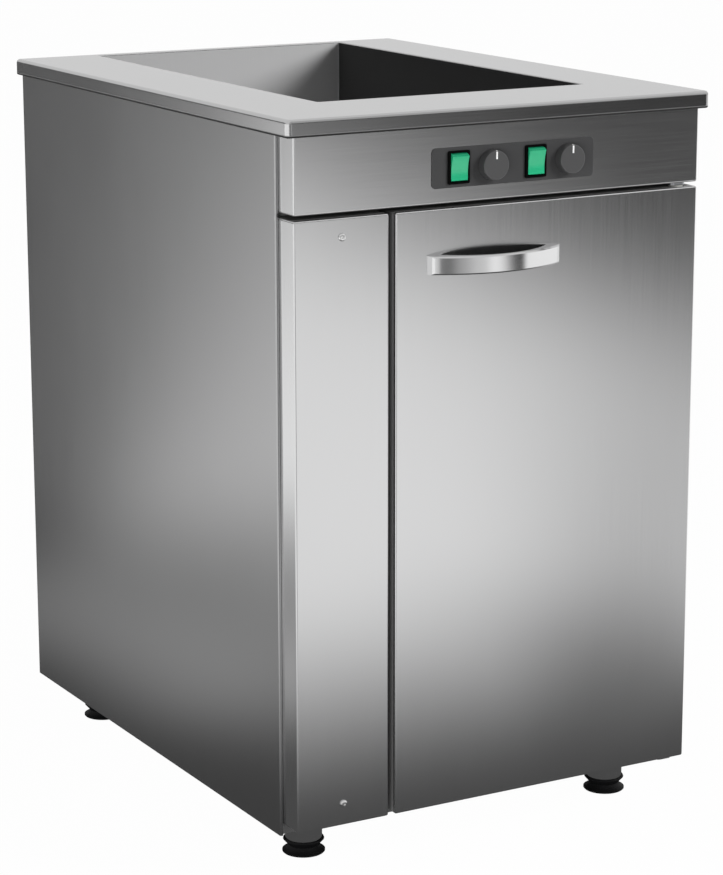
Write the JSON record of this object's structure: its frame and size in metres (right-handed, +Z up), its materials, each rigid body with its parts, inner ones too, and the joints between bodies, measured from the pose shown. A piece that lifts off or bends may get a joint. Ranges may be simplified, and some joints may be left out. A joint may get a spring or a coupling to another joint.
{
  "type": "bain marie",
  "caption": "Free-standing stainless steel bain marie: water well in a flat worktop, front controls, heated cupboard with a hinged door and bow handle, and levelling feet.",
  "frame": {"origin": "on the floor, under the middle of the bounding box", "axes": "+X to the right along the front, +Y to the back, +Z up; the door and the controls face -Y"},
  "size_m": [0.573, 0.791, 0.9],
  "materials": {
    "stainless": "brushed stainless sheet",
    "well_steel": "satin stainless, welded",
    "lining_steel": "satin stainless sheet",
    "handle_metal": "satin",
    "plated_steel": "zinc plated",
    "screw_steel": "bright",
    "heater_sheath": "dull dark sheath",
    "copper": "drawn copper",
    "mineral_wool": "fibrous",
    "gasket_rubber": "matt",
    "plate_grey": "satin dark grey",
    "switch_black": "glossy black",
    "rocker_green": "glossy green",
    "knob_grey": "satin dark grey",
    "thermostat_plastic": "moulded",
    "terminal_plastic": "moulded",
    "gland_plastic": "moulded",
    "magnet_case": "moulded",
    "bushing_nylon": "moulded",
    "foot_black": "satin black"
  },
  "bodies": {
    "carcass": {"worktop": "stainless", "left_side_panel": "stainless", "right_side_panel": "stainless", "rear_panel": "stainless", "base_panel": "stainless", "front_frame": "stainless", "control_panel": "stainless", "service_panel": "stainless", "legs": "stainless", "well_tub": "well_steel", "drain_fitting": "well_steel", "drain_nut": "well_steel", "drain_pipe": "well_steel", "cupboard_floor": "lining_steel", "cupboard_ceiling": "lining_steel", "cupboard_left_wall": "lining_steel", "cupboard_right_wall": "lining_steel", "cupboard_back_wall": "lining_steel", "cupboard_heater_cover": "lining_steel", "shelf": "lining_steel", "shelf_runners": "lining_steel", "service_partition": "plated_steel", "well_heater_clamps": "plated_steel", "hinge_plates": "plated_steel", "hinge_pins": "plated_steel", "service_panel_screws": "screw_steel", "rear_panel_screws": "screw_steel", "well_heater": "heater_sheath", "cupboard_heater": "heater_sheath", "well_sensor": "copper", "cupboard_sensor": "copper", "cupboard_insulation": "mineral_wool", "control_plate": "plate_grey", "left_switch_housing": "switch_black", "right_switch_housing": "switch_black", "left_thermostat": "thermostat_plastic", "right_thermostat": "thermostat_plastic", "terminal_block": "terminal_plastic", "cable_gland": "gland_plastic", "catch_magnet": "magnet_case"},
    "door": {"door_skin": "stainless", "door_liner": "stainless", "door_insulation": "mineral_wool", "door_gasket": "gasket_rubber", "door_handle": "handle_metal", "handle_screws": "screw_steel", "hinge_bushings": "bushing_nylon", "strike_plate": "plated_steel"},
    "left_rocker": {"left_rocker": "rocker_green"},
    "right_rocker": {"right_rocker": "rocker_green"},
    "left_knob": {"left_knob": "knob_grey", "left_spindle": "plated_steel"},
    "right_knob": {"right_knob": "knob_grey", "right_spindle": "plated_steel"},
    "standpipe": {"standpipe": "well_steel"},
    "false_bottom": {"false_bottom": "well_steel"},
    "front_left_foot": {"front_left_foot": "foot_black"},
    "front_right_foot": {"front_right_foot": "foot_black"},
    "rear_left_foot": {"rear_left_foot": "foot_black"},
    "rear_right_foot": {"rear_right_foot": "foot_black"}
  },
  "joints": [
    {"name": "door_hinge", "type": "hinge", "parent": "carcass", "child": "door", "pos_m": [0.255, -0.3465, 0.424], "axis": [0, 0, 1], "range_deg": [0, 110]},
    {"name": "left_rocker_tip", "type": "hinge", "parent": "carcass", "child": "left_rocker", "pos_m": [-0.062, -0.3595, 0.832], "axis": [1, 0, 0], "range_deg": [-14, 0]},
    {"name": "right_rocker_tip", "type": "hinge", "parent": "carcass", "child": "right_rocker", "pos_m": [0.0425, -0.3595, 0.832], "axis": [1, 0, 0], "range_deg": [-14, 0]},
    {"name": "left_knob_turn", "type": "hinge", "parent": "carcass", "child": "left_knob", "pos_m": [-0.0168, -0.3639, 0.832], "axis": [0, 1, 0], "range_deg": [0, 270]},
    {"name": "right_knob_turn", "type": "hinge", "parent": "carcass", "child": "right_knob", "pos_m": [0.0882, -0.3639, 0.832], "axis": [0, 1, 0], "range_deg": [0, 270]},
    {"name": "standpipe_lift", "type": "slide", "parent": "carcass", "child": "standpipe", "axis": [0, 0, 1], "range_m": [0, 0.15]},
    {"name": "false_bottom_lift", "type": "slide", "parent": "carcass", "child": "false_bottom", "axis": [0, 0, 1], "range_m": [0, 0.15]},
    {"name": "front_left_foot_turn", "type": "hinge", "parent": "carcass", "child": "front_left_foot", "pos_m": [-0.219, -0.2715, 0.009], "axis": [0, 0, 1], "continuous": true},
    {"name": "front_right_foot_turn", "type": "hinge", "parent": "carcass", "child": "front_right_foot", "pos_m": [0.219, -0.2715, 0.009], "axis": [0, 0, 1], "continuous": true},
    {"name": "rear_left_foot_turn", "type": "hinge", "parent": "carcass", "child": "rear_left_foot", "pos_m": [-0.219, 0.3105, 0.009], "axis": [0, 0, 1], "continuous": true},
    {"name": "rear_right_foot_turn", "type": "hinge", "parent": "carcass", "child": "rear_right_foot", "pos_m": [0.219, 0.3105, 0.009], "axis": [0, 0, 1], "continuous": true}
  ]
}
